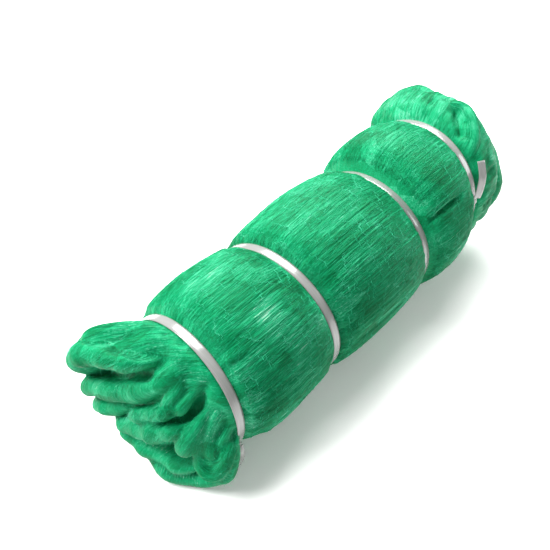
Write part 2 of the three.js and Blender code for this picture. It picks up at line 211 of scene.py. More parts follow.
def bundle_sizes(x):
    """The bundle's half width, sideways shift, top, bottom, lean and yaw at each x."""
    x = np.asarray(x, float)
    found = {key: np.zeros_like(x) for key in SIZES}
    for left, right, bulge in zip(WAISTS, WAISTS[1:], BULGES):
        here = (x >= left["x"]) & (x <= right["x"])
        along = (x - left["x"] - SHOULDER) / (right["x"] - left["x"] - 2 * SHOULDER)
        along = np.clip(along, 0, 1)
        rise = (1 - np.abs(2 * along - 1) ** FULLNESS) ** (1 / FULLNESS)
        for key in SIZES:
            size = between(left.get(key, 0), right.get(key, 0), along)
            if key in bulge:
                size = between(size, bulge[key], rise)
            found[key] = np.where(here, size, found[key])
    return found


def from_tapes(x):
    """How far x lies outside the nearest tape."""
    return np.min([np.abs(x - waist["x"]) for waist in WAISTS], axis=0) - TAPE_WIDTH / 2


furrows = ripple(seed=11, around=236, along=7)
fine_furrows = ripple(seed=12, around=470, along=12)
lumps = ripple(seed=13, around=8, along=11)
gathers = ripple(seed=14, around=74, along=6)


def bundle_relief(x, angle):
    """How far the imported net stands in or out, in furrows, lumps, gathers and troughs."""
    u, v = angle / (2 * math.pi), (x - RELIEF_START) / RELIEF_LENGTH
    clear = from_tapes(x)
    loose = eased(clear / FREE_OF_TAPE)
    relief = furrows(u, v) * FURROW_HEIGHT * (0.4 + 0.6 * loose)
    relief = relief + fine_furrows(u, v) * FINE_FURROW_HEIGHT
    relief = relief + lumps(u, v) * LUMP_HEIGHT * loose
    near_tape = np.exp(-np.abs(clear - GATHERS_FROM_TAPE) / GATHERS_FADE)
    relief = relief + gathers(u, v) * GATHER_HEIGHT * near_tape * eased(clear / 4)
    for start, end, middle, spread, depth in TROUGHS:
        along = np.clip((x - start) / (end - start), 0, 1)
        across = (np.degrees(angle) - middle) / spread
        relief = relief - depth * np.sin(np.pi * along) ** 0.7 * np.exp(-across * across)
    return relief - SUNK_UNDER_TAPE * (1 - eased((clear + 1.5) / 4))


def bundle_point(x, angle, lift=0.0):
    """A place on the bulges in millimetres, or a little above it."""
    size = bundle_sizes(x)
    out = bundle_relief(x, angle) + lift
    y = (size["half_width"] + out) * np.cos(angle)
    up = ((size["top"] - size["bottom"]) / 2 + out) * np.sin(angle)
    shift = up * np.tan(np.radians(size["lean"])) + y * np.tan(np.radians(size["yaw"]))
    z = np.maximum(ABOVE_FLOOR, (size["top"] + size["bottom"]) / 2 + up)
    return np.stack([x + shift, y + size["side"], z], -1)


def net_piece(name, points, faces, material):
    """A piece of the net from an array of points in metres and an array of faces."""
    faces = np.asarray(faces, np.int32)
    mesh = bpy.data.meshes.new(name)
    mesh.vertices.add(len(points))
    mesh.vertices.foreach_set("co", np.asarray(points, np.float32).ravel())
    mesh.loops.add(faces.size)
    mesh.loops.foreach_set("vertex_index", faces.ravel())
    mesh.polygons.add(len(faces))
    starts = np.arange(0, faces.size, faces.shape[1], dtype=np.int32)
    mesh.polygons.foreach_set("loop_start", starts)
    mesh.update(calc_edges=True)
    mesh.validate()
    mesh.polygons.foreach_set("use_smooth", np.full(len(faces), True))
    mesh.materials.append(material)
    piece = bpy.data.objects.new(name, mesh)
    bpy.context.scene.collection.objects.link(piece)
    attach(piece, "root")
    return piece


def ring_faces(rows, columns):
    """Four cornered faces between rows of points, where each row joins up with itself."""
    row, column = np.meshgrid(np.arange(rows - 1), np.arange(columns), indexing="ij")
    beside = (column + 1) % columns
    this, further = row * columns, (row + 1) * columns
    corners = [this + column, further + column, further + beside, this + beside]
    return np.stack(corners, -1).reshape(-1, 4)


# The palest shades are milky, a painted sheen. The clouds and the other patterns scatter it at random
# over the twine, in among the real overlaps of layers.
TWINE_SHADES = [
    (0.0, (0.0003, 0.085, 0.024)),
    (0.3, (0.0010, 0.160, 0.053)),
    (0.6, (0.0045, 0.265, 0.106)),
    (0.85, (0.052, 0.395, 0.212)),
    (1.0, (0.300, 0.560, 0.420)),
]
SILK_TINT = (0.30, 1.0, 0.68, 1)
SILK_ROUGHNESS = 0.4
GLOSS_TINT = (0.25, 1.0, 0.7, 1)
GLOSS_LEVEL = 0.3
NYLON_IOR = 1.36
# How many patches each pattern has per metre, along, across and up. ALONG_BUNDLE draws the
# streaks out along the net, ALL_WAYS doesn't, and ACROSS_FOLDS goes with the twine's map.
ALONG_BUNDLE = (70, 950, 950)
ALL_WAYS = (420, 420, 420)
ACROSS_FOLDS = (950, 90, 1)
CLOUDS = (22, 30, 30)
OVERLAPS = (34, 62, 62)
# The weight of each pattern in the colour, and the sums that get the first and last shade.
STREAK_WEIGHT, CLOUD_WEIGHT, OVERLAP_WEIGHT, TWINE_WEIGHT = 0.7, 0.6, 0.2, 0.24
DEEPEST, PALEST = 0.5, 1.27
RIDGE_HEIGHT = 0.0006
TWINE_MAP = "lie_of_the_twine"


def scaled(nodes, links, place, scale):
    """A place with each of its axes scaled by its own figure."""
    drawn = nodes.new("ShaderNodeMapping")
    drawn.inputs["Scale"].default_value = scale
    links.new(place, drawn.inputs["Vector"])
    return drawn.outputs["Vector"]


def soft_noise(nodes, links, place, scale, detail):
    """Soft noise, with that many patches per metre along each axis."""
    found = nodes.new("ShaderNodeTexNoise")
    found.inputs["Scale"].default_value = 1.0
    found.inputs["Detail"].default_value = detail
    links.new(scaled(nodes, links, place, scale), found.inputs["Vector"])
    return found.outputs["Fac"]


def torn_patches(nodes, links, place, scale):
    """Hard-edged patches, where one layer of the net ends over another."""
    cells = nodes.new("ShaderNodeTexVoronoi")
    cells.inputs["Scale"].default_value = 1.0
    grey = nodes.new("ShaderNodeSeparateColor")
    links.new(scaled(nodes, links, place, scale), cells.inputs["Vector"])
    links.new(cells.outputs["Color"], grey.inputs["Color"])
    return grey.outputs["Red"]


def weighed(nodes, links, parts):
    """The sum of several outputs, each times its weight."""
    total = None
    for output, weight in parts:
        step = nodes.new("ShaderNodeMath")
        step.operation = "MULTIPLY_ADD"
        step.inputs[1].default_value = weight
        step.inputs[2].default_value = 0.0
        links.new(output, step.inputs[0])
        if total:
            links.new(total, step.inputs[2])
        total = step.outputs["Value"]
    return total


def shaded(nodes, links, amount, shades):
    """Colours from a ramp of shades, from the deepest amount to the palest."""
    spread = nodes.new("ShaderNodeMapRange")
    spread.inputs["From Min"].default_value = DEEPEST
    spread.inputs["From Max"].default_value = PALEST
    ramp = nodes.new("ShaderNodeValToRGB")
    elements = ramp.color_ramp.elements
    elements.remove(elements[0])
    for index, (stop, colour) in enumerate(shades):
        element = elements[0] if index == 0 else elements.new(stop)
        element.position = stop
        element.color = (*colour, 1)
    links.new(amount, spread.inputs["Value"])
    links.new(spread.outputs["Result"], ramp.inputs["Fac"])
    return ramp.outputs["Color"]


def twine_material(name, shades, streak, sheen, roughness, bump, mapped=False):
    """Green nylon twine: fine streaks along the drawn-out mesh, deep and pale patches where
    layers overlap, the palest of them milky as a painted sheen, and a silky gloss."""
    material, nodes, links, shader = blank_material(name)
    place = nodes.new("ShaderNodeTexCoord").outputs["Object"]
    each_twine = nodes.new("ShaderNodeNewGeometry").outputs["Random Per Island"]
    twine_place = place
    if mapped:
        lie = nodes.new("ShaderNodeUVMap")
        lie.uv_map = TWINE_MAP
        twine_place = lie.outputs["UV"]
    streaks = soft_noise(nodes, links, twine_place, streak, 2.0)
    clouds = soft_noise(nodes, links, place, CLOUDS, 3.0)
    overlaps = torn_patches(nodes, links, place, OVERLAPS)
    parts = [
        (streaks, STREAK_WEIGHT),
        (clouds, CLOUD_WEIGHT),
        (overlaps, OVERLAP_WEIGHT),
        (each_twine, TWINE_WEIGHT),
    ]
    colour = shaded(nodes, links, weighed(nodes, links, parts), shades)
    links.new(colour, shader.inputs["Base Color"])
    ridges = nodes.new("ShaderNodeBump")
    ridges.inputs["Strength"].default_value = bump
    ridges.inputs["Distance"].default_value = RIDGE_HEIGHT
    links.new(streaks, ridges.inputs["Height"])
    links.new(ridges.outputs["Normal"], shader.inputs["Normal"])
    shader.inputs["Roughness"].default_value = roughness
    shader.inputs["Sheen Weight"].default_value = sheen
    shader.inputs["Sheen Roughness"].default_value = SILK_ROUGHNESS
    shader.inputs["Sheen Tint"].default_value = SILK_TINT
    shader.inputs["IOR"].default_value = NYLON_IOR
    shader.inputs["Specular IOR Level"].default_value = GLOSS_LEVEL
    shader.inputs["Specular Tint"].default_value = GLOSS_TINT
    return material


packed_green = twine_material(
    "packed_green_twine", TWINE_SHADES, ALONG_BUNDLE, sheen=0.05, roughness=0.5, bump=0.5
)

COLUMNS = 480
SPACING = 4.5
stations = np.arange(WAISTS[0]["x"], WAISTS[-1]["x"] + 1, SPACING)
round_angles = np.arange(COLUMNS) * 2 * math.pi / COLUMNS
station_grid, angle_grid = np.meshgrid(stations, round_angles, indexing="ij")
bulge_points = metres(bundle_point(station_grid, angle_grid)).reshape(-1, 3)
bulge_faces = ring_faces(len(stations), COLUMNS)[:, ::-1]
bulges = net_piece("net_bulges", bulge_points, bulge_faces, packed_green)
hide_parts("net")


# The layered end. Past the first tape the net turns back on itself, layer on layer, in
# rounded lips with slits between them, and single pleats run out of the tape. The layers
# are closed forms here, melted into one skin, which is smoothed and creased.

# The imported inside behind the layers. Each row has a distance past the tape, and there the
# sideways shift, half width, top and bottom.
NEAR_PACKING = [
    (-3.0, 0, 71.0, 146.4, 10.0),
    (5.6, 0, 71.4, 146.8, 9.6),
    (12.0, 5, 71.0, 149.0, 8.0),
    (22.0, 17, 64.0, 148.0, 6.0),
    (33.0, 27, 54.0, 140.0, 8.0),
    (40.0, 27, 48.0, 128.0, 14.0),
    (45.0, 26, 36.0, 110.0, 24.0),
    (48.0, 26, 16.0, 90.0, 40.0),
]
# Each lip is a row of places along it: its nose, the angle of its root round the tape's
# ring, how far in from the tape that lies, and half its thickness.
NEAR_LIPS = {
    "top": [
        ((-204, 0, 138), 100, 7, 8),
        ((-214, 16, 138), 90, 7, 9),
        ((-221, 36, 137), 68, 7, 9),
        ((-225, 62, 126), 46, 8, 11),
        ((-224, 75, 107), 22, 8, 11),
        ((-208, 84, 66), 2, 8, 9),
    ],
    "second": [
        ((-200, -18, 131), 118, 8, 7),
        ((-207, -4, 118), 108, 8, 10),
        ((-213, 18, 98), 96, 20, 13),
        ((-219, 43, 85), 60, 36, 11),
        ((-221, 70, 70), 10, 24, 10),
        ((-208, 84, 44), -12, 16, 9),
    ],
    "crumple": [
        ((-211, 22, 78), 100, 50, 7),
        ((-219, 43, 57), 0, 46, 8),
        ((-220, 60, 48), -15, 30, 8),
        ((-210, 78, 33), -30, 16, 8),
    ],
    "curl": [
        ((-206, -30, 104), 124, 10, 6),
        ((-211, -20, 97), 121, 13, 8),
        ((-215, -6, 88), 118, 20, 8),
        ((-217, 6, 79), 114, 36, 7),
        ((-218, 18, 70), 90, 56, 5),
    ],
    "wide": [
        ((-204, -39, 82), 146, 12, 8),
        ((-210, -31, 78), 144, 18, 10),
        ((-214, -18, 70), 143, 28, 11),
        ((-217, 3, 59), -160, 44, 11),
        ((-216, 32, 42), -60, 36, 9),
        ((-204, 60, 26), -38, 18, 7),
    ],
    "lower": [
        ((-200, -52, 31), -172, 14, 7),
        ((-208, -37, 27), -160, 22, 9),
        ((-211, -16, 24), -130, 24, 9),
        ((-213, 6, 23), -90, 24, 9),
        ((-215, 32, 25), -62, 20, 8),
        ((-208, 54, 26), -50, 16, 7),
    ],
    "outer": [
        ((-176, -75, 66), 186, 7, 6),
        ((-186, -77, 46), 200, 8, 7),
        ((-194, -68, 24), 214, 10, 9),
        ((-203, -42, 12), 236, 12, 10),
        ((-210, -12, 13), 258, 12, 10),
        ((-213, 20, 15), 285, 12, 9),
        ((-211, 42, 22), 305, 12, 8),
    ],
}
# Each pleat has the places that it passes, with half its thickness there.
NEAR_PLEATS = {
    "crown": [(-164, 26, 128, 12), (-182, 44, 127, 14), (-204, 62, 125, 15), (-216, 70, 119, 14)],
    "corner": [(-186, 60, 108, 12), (-206, 68, 116, 13), (-220, 76, 112, 12)],
    "brow": [(-164, 6, 132, 12), (-182, 14, 134, 14), (-200, 26, 131, 14), (-212, 42, 128, 11)],
    "cheek": [(-166, 58, 88, 10), (-190, 68, 92, 14), (-212, 71, 88, 12)],
    "shelf": [(-164, -16, 130, 11), (-182, -14, 128, 13), (-197, -8, 122, 11), (-204, -4, 116, 9)],
    "band": [
        (-164, -20, 130, 5),
        (-178, -19, 131, 6),
        (-192, -23, 119, 7),
        (-202, -21, 108, 6),
        (-208, -20, 97, 4),
    ],
    "strap": [(-168, -33, 124, 5), (-182, -34, 116, 6), (-196, -32, 106, 7), (-203, -30, 98, 4)],
    "finger": [
        (-170, -46, 109, 5),
        (-182, -47, 102, 6),
        (-195, -46, 88, 8),
        (-204, -43, 73, 10),
        (-209, -40, 56, 11),
    ],
    "loop_heart": [(-198, -61, 50, 6), (-192, -63, 56, 7), (-184, -62, 66, 6)],
    "loop": [
        (-166, -54, 104, 5),
        (-178, -56, 98, 7),
        (-190, -54, 78, 7),
        (-199, -52, 56, 7),
        (-203, -59, 44, 7),
        (-200, -68, 41, 7),
        (-192, -73, 51, 7),
        (-184, -72, 65, 7),
        (-174, -66, 72, 6),
        (-166, -58, 76, 4),
    ],
    "fan_upper": [(-166, -48, 114, 4), (-178, -56, 102, 5), (-189, -57, 84, 5)],
    "fan_middle": [(-166, -58, 98, 4), (-177, -64, 84, 6), (-186, -64, 70, 6), (-191, -62, 58, 5)],
    "fan_inner": [(-168, -54, 98, 5), (-182, -57, 82, 6), (-192, -60, 66, 7), (-196, -64, 54, 6)],
    "fan_lower": [(-166, -62, 78, 3), (-175, -72, 70, 4), (-183, -75, 56, 4)],
}
# Each crease has the places that it passes, its half width and its depth.
NEAR_CREASES = [
    dict(way=[(-177, -42, 124), (-186, -43, 108), (-194, -36, 95), (-200, -32, 88)], wide=4, deep=9),
    dict(way=[(-209, 39, 111), (-209, 27, 117), (-207, 12, 123), (-204, 0, 128)], wide=4, deep=7),
    dict(way=[(-172, 8, 147), (-186, -4, 140), (-198, -10, 130)], wide=5, deep=1.5),
    dict(way=[(-170, -8, 145), (-182, -12, 136), (-196, -16, 126)], wide=4, deep=2),
    dict(way=[(-172, -60, 100), (-183, -63, 84), (-192, -61, 64)], wide=3, deep=3),
    dict(way=[(-172, -70, 82), (-182, -73, 66), (-190, -68, 54)], wide=3, deep=3),
]
LIP_BOW = 0.13
LIP_ROOT_DEPTH = 5
LIP_ROOT_SHARE = 0.55
LIP_ROUNDING = 1.15
LIP_WAVE, LIP_SWELL = 0.7, 0.04
# How much of its length and of its thickness a lip keeps at its two ends.
LIP_END_LENGTH, LIP_END_THICKNESS = 0.86, 0.15
LIP_STEPS, LIP_SIDE_STEPS, LIP_TURN_STEPS = 16, 11, 13
PLEAT_STEPS, PLEAT_SIDES = 12, 24
PACKING_STEPS, PACKING_SIDES = 40, 160
CREASE_STEPS = 40
SKIN_GRAIN = 0.0014
SKIN_SMOOTHING = 4
SMOOTH_IN, SMOOTH_OUT = 0.6, -0.35
WAY_SMOOTHING = 8
UNDER_TAPE = -1.8
FORMS_APART = 500


def unit(ways, least=0.0):
    """Each way at a length of one."""
    return ways / (np.linalg.norm(ways, axis=-1, keepdims=True) + least)


def curve_through(rows, count):
    """A smooth curve with that many places through the given rows of numbers."""
    rows = np.asarray(rows, float)
    rows = np.vstack([2 * rows[0] - rows[1], rows, 2 * rows[-1] - rows[-2]])
    place = np.linspace(0, len(rows) - 3 - 1e-9, count)
    low = np.floor(place).astype(int)
    t = (place - low)[:, None]
    a, b, c, d = rows[low], rows[low + 1], rows[low + 2], rows[low + 3]
    bend = 2 * a - 5 * b + 4 * c - d
    return 0.5 * (2 * b + (c - a) * t + bend * t**2 + (3 * b - a - 3 * c + d) * t**3)


def tape_ring(waist, angle, lift, along):
    """A place on the waist that a tape pulls in, lifted off it and moved along the bundle."""
    y = (waist["half_width"] + lift) * np.cos(angle)
    up = ((waist["top"] - waist["bottom"]) / 2 + lift) * np.sin(angle)
    shift = up * math.tan(math.radians(waist["lean"])) + y * math.tan(math.radians(waist["yaw"]))
    return np.stack([waist["x"] + shift + along, y, (waist["top"] + waist["bottom"]) / 2 + up], -1)


def closed_form(rings):
    """Points and faces of a closed form from rings of points."""
    rings = np.asarray(rings, float)
    count, around, _ = rings.shape
    ends = [rings[0].mean(0), rings[-1].mean(0)]
    points = np.vstack([rings.reshape(-1, 3), ends])
    faces = [tuple(face) for face in ring_faces(count, around)]
    first, last = count * around, count * around + 1
    for step in range(around):
        beside = (step + 1) % around
        faces.append((first, step, beside))
        faces.append((last, (count - 1) * around + beside, (count - 1) * around + step))
    return points, faces


def joined(parts):
    """The points and faces of several forms as one."""
    points, faces, count = [], [], 0
    for part_points, part_faces in parts:
        points.append(part_points)
        faces += [tuple(count + corner for corner in face) for face in part_faces]
        count += len(part_points)
    return np.vstack(points), faces


def slow_wave(share, seed):
    """A slow random wave along a lip."""
    draw = np.random.default_rng(seed)
    wave = 0
    for turns in range(3, 12, 2):
        height = draw.normal(0, 1)
        start = draw.uniform(0, 6)
        wave = wave + height * np.sin(share * math.pi * turns + start)
    return wave


def lip_form(rows, waist, outward, seed):
    """A layer that comes out of the tape's ring, turns over in a rounded lip and goes back in."""
    count = LIP_STEPS * (len(rows) - 1)
    noses = curve_through([nose for nose, *_ in rows], count)
    deeper = (outward * LIP_ROOT_DEPTH, 0, 0)
    roots = [tape_ring(waist, np.radians(angle), -inset, 0.0) + deeper for _, angle, inset, _ in rows]
    roots = curve_through(roots, count)
    half = curve_through([[half] for *_, half in rows], count)
    share = np.linspace(0, 1, count)[:, None]
    ending = np.sqrt(np.maximum(0, 1 - np.abs(2 * share - 1) ** 5))
    wave = slow_wave(share, seed)
    length = np.linalg.norm(noses - roots, axis=1, keepdims=True)
    out = unit(noses - roots)
    up = unit(np.cross(out, unit(np.gradient(noses, axis=0))))
    length = length * between(LIP_END_LENGTH, 1, ending) - half * 0.2 + wave * LIP_WAVE
    half = half * between(LIP_END_THICKNESS, 1, ending) * (1 + LIP_SWELL * np.roll(wave, 5))
    # Round the layer: out along its upper side, over the lip, and back along the lower.
    side = np.linspace(0, 1, LIP_SIDE_STEPS + 1)[:-1]
    turn = np.linspace(math.pi / 2, -math.pi / 2, LIP_TURN_STEPS)
    swell = between(LIP_ROOT_SHARE, 1, np.sin(side * math.pi / 2))
    reach = np.concatenate([side, np.ones(LIP_TURN_STEPS), side[::-1]])[None, :]
    past = np.concatenate([side * 0, LIP_ROUNDING * np.cos(turn), side * 0])[None, :]
    rise = np.concatenate([swell, np.sin(turn), -swell[::-1]])[None, :]
    bow = length * LIP_BOW * np.sin(math.pi * reach)
    along = (length * reach + half * past)[..., None]
    high = (half * rise + bow)[..., None]
    rings = roots[:, None, :] + out[:, None, :] * along + up[:, None, :] * high
    rings[..., 2] = np.maximum(rings[..., 2], ABOVE_FLOOR)
    return rings, 1


def pleat_form(rows):
    """A single rounded pleat along its way, closed at its nose."""
    count = PLEAT_STEPS * (len(rows) - 1)
    way = curve_through(rows, count)
    share = np.linspace(0, 1, count)[:, None]
    half = way[:, 3:] * np.sqrt(np.maximum(0.03, 1 - np.maximum(0, 5 * share - 4) ** 2))
    way = way[:, :3]
    along = unit(np.gradient(way, axis=0))
    side = unit(np.cross((0, 0, 1), along))
    up = np.cross(along, side)
    turn = (np.arange(PLEAT_SIDES) * 2 * math.pi / PLEAT_SIDES - math.pi / 2)[None, :, None]
    out = side[:, None, :] * np.cos(turn) + up[:, None, :] * np.sin(turn)
    rings = way[:, None, :] + half[:, None, :] * out
    rings[..., 2] = np.maximum(rings[..., 2], ABOVE_FLOOR)
    return rings, 0


def packing_form(rows, waist, outward):
    """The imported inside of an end, from its tape to a rounded point."""
    past, side, half_width, top, bottom = curve_through(rows, PACKING_STEPS).T[:, :, None]
    angle = np.arange(PACKING_SIDES) * 2 * math.pi / PACKING_SIDES
    out = gathers(angle / (2 * math.pi), past / 60) * 1.5 * eased(past / 12)
    y = (half_width + out) * np.cos(angle)
    up = ((top - bottom) / 2 + out) * np.sin(angle)
    shift = up * math.tan(math.radians(waist["lean"])) + y * math.tan(math.radians(waist["yaw"]))
    z = np.maximum(ABOVE_FLOOR, (top + bottom) / 2 + up)
    rings = np.stack([waist["x"] + outward * past + shift, y + side, z], -1)
    return rings, 0


def melted(name, forms):
    """Points in metres and four cornered faces of one skin round all the forms."""
    points, faces = joined(closed_form(rings) for rings, _ in forms)
    holder = object_from(name + "_forms", metres(points).tolist(), faces)
    melt = holder.modifiers.new("melt", "REMESH")
    melt.mode = "VOXEL"
    melt.voxel_size = SKIN_GRAIN
    skin = holder.evaluated_get(bpy.context.evaluated_depsgraph_get()).to_mesh()
    co = np.zeros(len(skin.vertices) * 3, np.float32)
    skin.vertices.foreach_get("co", co)
    corners = np.zeros(len(skin.loops), np.int32)
    skin.loops.foreach_get("vertex_index", corners)
    bpy.data.objects.remove(holder)
    return co.reshape(-1, 3).astype(float), corners.reshape(-1, 4)


def past_tape(co, corners, waist, outward):
    """Only what stands out of the tape's ring, so that the skin is open under the tape."""
    off = co * 1000 - MARK
    lean = (off[:, 2] - (waist["top"] + waist["bottom"]) / 2) * math.tan(math.radians(waist["lean"]))
    yaw = off[:, 1] * math.tan(math.radians(waist["yaw"]))
    kept = (off[:, 0] - waist["x"] - lean - yaw) * outward > UNDER_TAPE
    corners = corners[kept[corners].all(axis=1)]
    numbers = np.cumsum(kept) - 1
    return co[kept], numbers[corners]


def averaging(mesh):
    """A function for the mean of the values round each point of a mesh."""
    edges = np.zeros(len(mesh.edges) * 2, np.int32)
    mesh.edges.foreach_get("vertices", edges)
    edges = edges.reshape(-1, 2)

    def neighbours(values):
        total = np.zeros_like(values)
        for column in range(values.shape[1]):
            total[:, column] += np.bincount(edges[:, 0], values[edges[:, 1], column], len(values))
            total[:, column] += np.bincount(edges[:, 1], values[edges[:, 0], column], len(values))
        return total / np.maximum(1, np.bincount(edges.ravel(), minlength=len(values)))[:, None]

    return neighbours


def moved_to(skin, co):
    """Moves the points of a skin, and gives its outward side at each."""
    normals = np.zeros(len(co) * 3, np.float32)
    skin.data.vertices.foreach_set("co", co.astype(np.float32).ravel())
    skin.data.update()
    skin.data.vertex_normals.foreach_get("vector", normals)
    return normals.reshape(-1, 3).astype(float)


def pressed_in(skin, co, creases):
    """The points of a skin with the creases pressed in."""
    for crease in creases:
        way = metres(curve_through(crease["way"], CREASE_STEPS))
        off = np.min([np.linalg.norm(co - place, axis=1) for place in way], axis=0) * 1000
        deep = crease["deep"] / 1000 * np.exp(-((off / crease["wide"]) ** 2))
        co = co - moved_to(skin, co) * deep[:, None]
    return co


def lie_of_twine(rings, along_axis):
    """At each point of a form: the twine's way, the way across it, and millimetres across
    and along."""
    ways, measures = [], []
    for axis in (1 - along_axis, along_axis):
        way = np.gradient(rings, axis=axis)
        step = np.linalg.norm(way, axis=-1, keepdims=True)
        ways.append(unit(way, 1e-9))
        if axis != along_axis:
            step = np.broadcast_to(step.mean(axis=along_axis, keepdims=True), step.shape)
        measures.append(np.cumsum(step, axis=axis))
    across, along = ways
    return np.concatenate([along, across, *measures], -1).reshape(-1, 8)


def tree_of(places):
    """A tree that finds the nearest of the places."""
    tree = KDTree(len(places))
    for index, place in enumerate(places):
        tree.insert(place, index)
    tree.balance()
    return tree


def map_twine(skin, co, corners, forms):
    """Gives a skin its map of metres across and along the twine, which the streaks follow,
    and returns the twine's way at each point. Both come from the nearest point of a form."""
    lies = []
    for number, (rings, along_axis) in enumerate(forms):
        lie = lie_of_twine(rings, along_axis)
        lie[:, 6] += number * FORMS_APART
        lies.append(lie)
    lies = np.vstack(lies)
    sources = metres(np.vstack([rings.reshape(-1, 3) for rings, _ in forms]))
    tree = tree_of(sources)
    nearest = np.array([tree.find(place)[1] for place in co])
    own = nearest[corners[:, 0]]
    off = (co[corners] - sources[own][:, None, :]) * 1000
    lie = lies[own][:, None, :]
    across = lie[..., 6] + np.sum(off * lie[..., 3:6], -1)
    along = lie[..., 7] + np.sum(off * lie[..., :3], -1)
    places = np.stack([across, along], -1).reshape(-1, 2) / 1000
    layer = skin.data.uv_layers.new(name=TWINE_MAP)
    layer.data.foreach_set("uv", places.astype(np.float32).ravel())
    return lies[nearest, :3]


def melted_skin(name, forms, creases, waist, outward):
    """One smooth, creased skin round all the forms, with its points, outward sides and the
    twine's way at each point."""
    co, corners = past_tape(*melted(name, forms), waist, outward)
    skin = net_piece(name, co, corners, folded_green)
    neighbours = averaging(skin.data)
    for _ in range(SKIN_SMOOTHING):
        co = between(co, neighbours(co), SMOOTH_IN)
        co = between(co, neighbours(co), SMOOTH_OUT)
    co = pressed_in(skin, co, creases)
    co[:, 2] = np.maximum(co[:, 2], ABOVE_FLOOR / 1000)
    normals = moved_to(skin, co)
    way = map_twine(skin, co, corners, forms)
    for _ in range(WAY_SMOOTHING):
        way = between(way, neighbours(way), 0.7)
        way -= normals * np.sum(way * normals, axis=1, keepdims=True)
        way = unit(way, 1e-9)
    return skin, co, normals, way


folded_green = twine_material(
    "folded_green_twine", TWINE_SHADES, ACROSS_FOLDS, sheen=0.05, roughness=0.5, bump=0.5, mapped=True
)
near_forms = [packing_form(NEAR_PACKING, WAISTS[0], -1)]
near_forms += [lip_form(rows, WAISTS[0], -1, seed) for seed, rows in enumerate(NEAR_LIPS.values())]
near_forms += [pleat_form(rows) for rows in NEAR_PLEATS.values()]
near_end, *near_skin = melted_skin("net_layered_end", near_forms, NEAR_CREASES, WAISTS[0], -1)
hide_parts("net")


# The rounded end. Past the last tape the layers of the net close over one another in soft
# lobes, with one hooked ridge over a hollow. It is made as the layered end is.

FAR_PACKING = [
    (-3.0, 0, 75.8, 164.8, 19.2),
    (5.6, 0, 76.2, 165.2, 18.8),
    (10.0, 1, 81.0, 172.0, 13.0),
    (20.0, 3, 85.0, 179.0, 5.0),
    (34.0, 5, 86.0, 181.0, 1.0),
    (50.0, 6, 84.0, 179.0, 2.0),
    (61.0, 6, 76.0, 169.0, 12.0),
    (70.0, 6, 62.0, 151.0, 28.0),
    (75.0, 6, 40.0, 128.0, 50.0),
    (77.0, 6, 18.0, 106.0, 72.0),
]
FAR_LIPS = {
    "over": [
        ((276, 10, 155), 95, 24, 12),
        ((285, 48, 151), 65, 24, 17),
        ((281, 82, 126), 25, 20, 18),
        ((270, 84, 80), -8, 20, 12),
    ],
    "side": [
        ((278, 2, 140), 105, 28, 10),
        ((286, -22, 131), 128, 28, 12),
        ((286, -51, 104), 164, 26, 14),
        ((284, -59, 67), 196, 22, 13),
        ((274, -52, 37), 220, 18, 10),
    ],
    "inner": [
        ((280, -18, 98), 150, 56, 12),
        ((286, 12, 86), 90, 66, 14),
        ((280, 48, 76), -10, 42, 12),
    ],
    "low": [
        ((270, -20, 48), 240, 40, 12),
        ((277, 8, 42), 270, 38, 14),
        ((271, 42, 44), 310, 32, 12),
    ],
}
FAR_PLEATS = {
    "hook": [
        (224, -52, 147, 4),
        (232, -50, 156, 6),
        (241, -45, 163, 7),
        (254, -32, 172, 7),
        (263, -17, 175, 7),
        (260, -5, 177, 6),
        (252, 2, 175, 4),
    ],
}
FAR_CREASES = [
    dict(way=[(250, -15, 179), (240, -26, 175), (231, -34, 168)], wide=6, deep=9),
    dict(way=[(278, 12, 160), (256, 15, 177), (236, 13, 174), (220, 10, 170)], wide=5, deep=4),
    dict(way=[(280, 48, 146), (264, 50, 162), (244, 47, 166), (224, 42, 160)], wide=5, deep=3.5),
    dict(way=[(284, -40, 118), (262, -64, 124), (240, -74, 128), (222, -72, 122)], wide=5, deep=4),
    dict(way=[(280, -46, 80), (255, -74, 88), (232, -82, 92)], wide=5, deep=4.5),
    dict(way=[(268, -50, 48), (250, -70, 50), (228, -76, 62)], wide=5, deep=4),
    dict(way=[(284, 62, 110), (262, 82, 116), (236, 84, 118)], wide=6, deep=4),
    dict(way=[(276, 60, 60), (256, 80, 66), (232, 82, 76)], wide=6, deep=4),
]

FAR_SEEDS = 20
far_forms = [packing_form(FAR_PACKING, WAISTS[-1], 1)]
far_forms += [
    lip_form(rows, WAISTS[-1], 1, seed) for seed, rows in enumerate(FAR_LIPS.values(), FAR_SEEDS)
]
far_forms += [pleat_form(rows) for rows in FAR_PLEATS.values()]
far_end, *far_skin = melted_skin("net_rounded_end", far_forms, FAR_CREASES, WAISTS[-1], 1)
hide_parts("net")


# The outer twine of the bulges. Thousands of fine nylon filaments lie side by side along
# the bundle, each a little out of line with the next, and slip under the tapes.

TWINES = 9600
TWINE_STEPS = 9
TWINE_LENGTH = (35, 105)
TWINE_HALF_WIDTH = (0.14, 0.36)
TWINE_LIFT = (-0.1, 0.4)
TWINE_SWAY = 0.9
TWINE_ANGLES = (-0.35, math.pi + 0.9)
TWINE_TO_TAPE = 4.0
TWINE_HEIGHT = 0.9
SHORTEST_TWINE = 12
BUNDLE_RADIUS = 85


